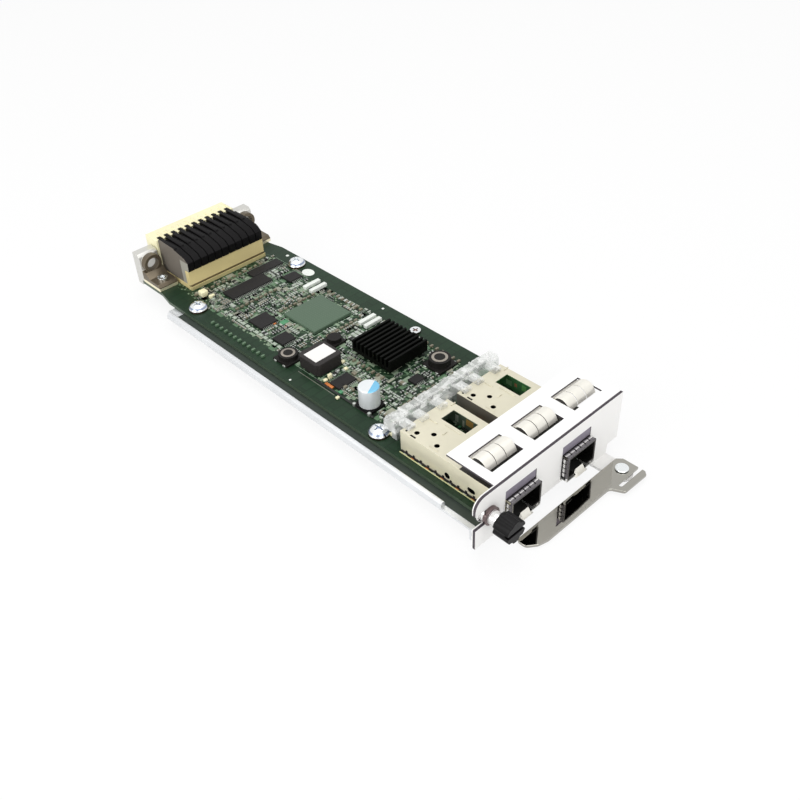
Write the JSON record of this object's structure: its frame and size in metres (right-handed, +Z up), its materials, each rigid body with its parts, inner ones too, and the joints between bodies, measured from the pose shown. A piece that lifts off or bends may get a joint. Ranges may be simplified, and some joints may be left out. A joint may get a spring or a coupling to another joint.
{
  "type": "interface card",
  "caption": "Slide-in interface card: tray with board, pluggable port cages behind a white faceplate, rear mating connector with guide bores, captive screw and swinging ejector lever.",
  "frame": {"origin": "bottom left corner of the faceplate's front face, seen from the front", "axes": "+X along the faceplate to the right, +Y rearwards to the mating connector, +Z up"},
  "size_m": [0.076, 0.2432, 0.0277],
  "materials": {
    "plate_white": "satin white powder coat",
    "tray_zinc": "zinc-plated sheet",
    "insulator_black": "matt insulating film",
    "board_green": "green solder mask",
    "screw_nickel": "bright nickel",
    "cage_tin": "warm tin plate",
    "collar_steel": "bright spring steel",
    "seal_grey": "conductive foam",
    "connector_black": "moulded",
    "spring_tin": "tin-plated spring",
    "guide_clear": "clear moulded light guide",
    "housing_cream": "cream moulding",
    "block_zinc": "die-cast",
    "chip_black": "moulded package",
    "sink_black": "black anodised",
    "chip_green": "green laminate package",
    "core_black": "ferrite",
    "label_white": "blank paper label",
    "can_aluminium": "drawn can",
    "ceramic_tan": "ceramic",
    "strip_white": "white moulding",
    "ferrule_steel": "bright turned steel",
    "knob_black": "satin black",
    "lever_steel": "polished stainless steel"
  },
  "bodies": {
    "card": {"faceplate": "plate_white", "tray": "tray_zinc", "insulating_sheet": "insulator_black", "board": "board_green", "board_screws": "screw_nickel", "cage_left": "cage_tin", "cage_right": "cage_tin", "collar_left": "collar_steel", "collar_right": "collar_steel", "port_seal_left": "seal_grey", "port_seal_right": "seal_grey", "host_connector_left": "connector_black", "host_connector_right": "connector_black", "top_shield": "plate_white", "contact_spring_left": "spring_tin", "contact_spring_middle": "spring_tin", "contact_spring_right": "spring_tin", "light_guide": "guide_clear", "connector_base": "housing_cream", "connector_wafers": "connector_black", "connector_shroud": "housing_cream", "guide_block_left": "block_zinc", "guide_block_right": "block_zinc", "guide_screws": "screw_nickel", "sink_chip": "chip_black", "heat_sink": "sink_black", "main_chip": "chip_green", "small_chips": "chip_black", "power_inductor": "core_black", "inductor_label": "label_white", "drum_inductors": "core_black", "capacitor_base": "connector_black", "capacitor_can": "can_aluminium", "ceramic_parts": "ceramic_tan", "header_strips": "strip_white", "screw_ferrule": "ferrule_steel", "lever_pivot": "screw_nickel"},
    "screw_carrier": {"screw_clip": "spring_tin"},
    "screw": {"screw_shaft": "ferrule_steel", "screw_knob": "knob_black"},
    "lever": {"ejector_lever": "lever_steel"}
  },
  "joints": [
    {"name": "screw_retract", "type": "slide", "parent": "card", "child": "screw_carrier", "axis": [0, -1, 0], "range_m": [0, 0.0028]},
    {"name": "screw_turn", "type": "hinge", "parent": "screw_carrier", "child": "screw", "pos_m": [0.0065, -0.005, 0.0116], "axis": [0, 1, 0], "continuous": true},
    {"name": "lever_swing", "type": "hinge", "parent": "card", "child": "lever", "pos_m": [0.066, -0.0098, -0.0033], "axis": [0, 0, 1], "range_deg": [0, 75]}
  ]
}
